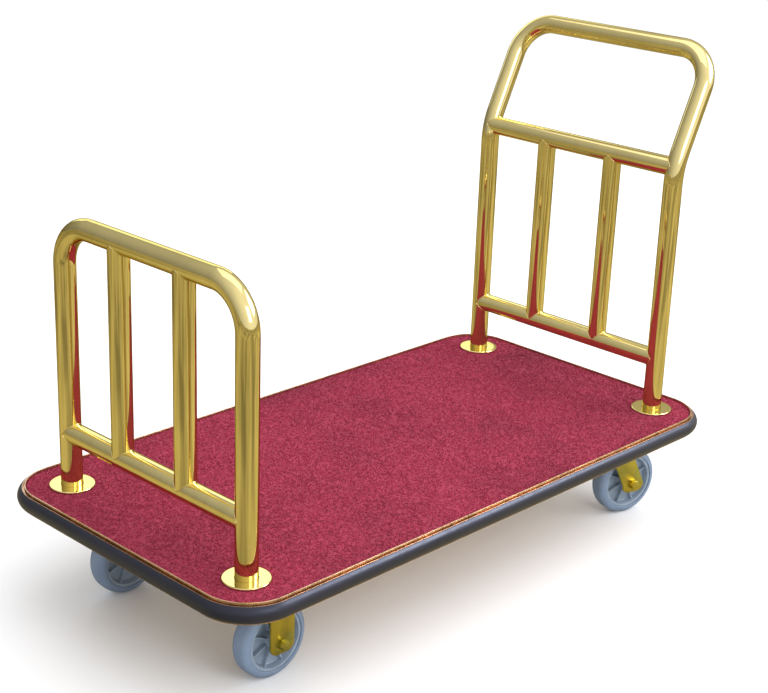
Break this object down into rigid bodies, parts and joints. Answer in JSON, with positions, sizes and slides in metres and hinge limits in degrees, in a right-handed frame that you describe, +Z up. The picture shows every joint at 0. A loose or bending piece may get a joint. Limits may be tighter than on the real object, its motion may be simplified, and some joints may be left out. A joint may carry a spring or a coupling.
{
  "type": "hotel luggage cart",
  "caption": "Hotel luggage cart with a carpeted deck in a D-section bumper, low polished rail at the front, high push handle at the back, and rigid and swivel casters.",
  "frame": {"origin": "on the floor, under the centre of the whole cart's bounding box", "axes": "+X along the deck to the push handle, +Y to the right-hand side, +Z up"},
  "size_m": [1.245, 0.6394, 0.9134],
  "materials": {
    "carpet_pile": "cut pile",
    "plywood": "sealed",
    "gold_paint": "satin",
    "trim_brass": "polished",
    "bumper_vinyl": "satin",
    "polished_brass": "polished",
    "plain_steel": "plain",
    "wheel_plastic": "moulded",
    "wheel_tyre": "non-marking",
    "yellow_zinc": "yellow zinc plated"
  },
  "bodies": {
    "cart": {"bumper": "bumper_vinyl", "carpet": "carpet_pile", "cross_channel_front": "gold_paint", "cross_channel_rear": "gold_paint", "deck_board": "plywood", "edge_trim": "trim_brass", "frame_ring": "gold_paint", "front_left_axle_bolt": "yellow_zinc", "front_left_axle_nut": "yellow_zinc", "front_left_fork": "yellow_zinc", "front_left_plate_bolts": "yellow_zinc", "front_right_axle_bolt": "yellow_zinc", "front_right_axle_nut": "yellow_zinc", "front_right_fork": "yellow_zinc", "front_right_plate_bolts": "yellow_zinc", "handle_hoop": "polished_brass", "handle_lower_crossbar": "polished_brass", "handle_picket_left": "polished_brass", "handle_picket_right": "polished_brass", "handle_upper_crossbar": "polished_brass", "low_rail_crossbar": "polished_brass", "low_rail_hoop": "polished_brass", "low_rail_picket_left": "polished_brass", "low_rail_picket_right": "polished_brass", "post_bolt_handle_left": "plain_steel", "post_bolt_handle_right": "plain_steel", "post_bolt_low_left": "plain_steel", "post_bolt_low_right": "plain_steel", "post_flange_handle_left": "polished_brass", "post_flange_handle_right": "polished_brass", "post_flange_low_left": "polished_brass", "post_flange_low_right": "polished_brass", "post_plug_handle_left": "plain_steel", "post_plug_handle_right": "plain_steel", "post_plug_low_left": "plain_steel", "post_plug_low_right": "plain_steel", "rear_left_caster_plate": "yellow_zinc", "rear_left_kingpin": "yellow_zinc", "rear_left_plate_bolts": "yellow_zinc", "rear_right_caster_plate": "yellow_zinc", "rear_right_kingpin": "yellow_zinc", "rear_right_plate_bolts": "yellow_zinc"},
    "front_left_wheel": {"front_left_wheel_core": "wheel_plastic", "front_left_tyre": "wheel_tyre"},
    "rear_left_swivel": {"rear_left_fork": "yellow_zinc", "rear_left_axle_bolt": "yellow_zinc", "rear_left_axle_nut": "yellow_zinc"},
    "rear_left_wheel": {"rear_left_wheel_core": "wheel_plastic", "rear_left_tyre": "wheel_tyre"},
    "front_right_wheel": {"front_right_wheel_core": "wheel_plastic", "front_right_tyre": "wheel_tyre"},
    "rear_right_swivel": {"rear_right_fork": "yellow_zinc", "rear_right_axle_bolt": "yellow_zinc", "rear_right_axle_nut": "yellow_zinc"},
    "rear_right_wheel": {"rear_right_wheel_core": "wheel_plastic", "rear_right_tyre": "wheel_tyre"}
  },
  "joints": [
    {"name": "front_left_roll", "type": "hinge", "parent": "cart", "child": "front_left_wheel", "pos_m": [-0.45085, -0.188, 0.067], "axis": [0, 1, 0], "continuous": true},
    {"name": "front_right_roll", "type": "hinge", "parent": "cart", "child": "front_right_wheel", "pos_m": [-0.45085, 0.188, 0.067], "axis": [0, 1, 0], "continuous": true},
    {"name": "rear_left_caster_swivel", "type": "hinge", "parent": "cart", "child": "rear_left_swivel", "pos_m": [0.42915, -0.188, 0.1535], "axis": [0, 0, 1], "continuous": true},
    {"name": "rear_left_roll", "type": "hinge", "parent": "rear_left_swivel", "child": "rear_left_wheel", "pos_m": [0.47184, -0.19864, 0.067], "axis": [0.2419, 0.9703, 0], "continuous": true},
    {"name": "rear_right_caster_swivel", "type": "hinge", "parent": "cart", "child": "rear_right_swivel", "pos_m": [0.42915, 0.188, 0.1535], "axis": [0, 0, 1], "continuous": true},
    {"name": "rear_right_roll", "type": "hinge", "parent": "rear_right_swivel", "child": "rear_right_wheel", "pos_m": [0.47282, 0.19336, 0.067], "axis": [-0.1219, 0.9925, 0], "continuous": true}
  ]
}
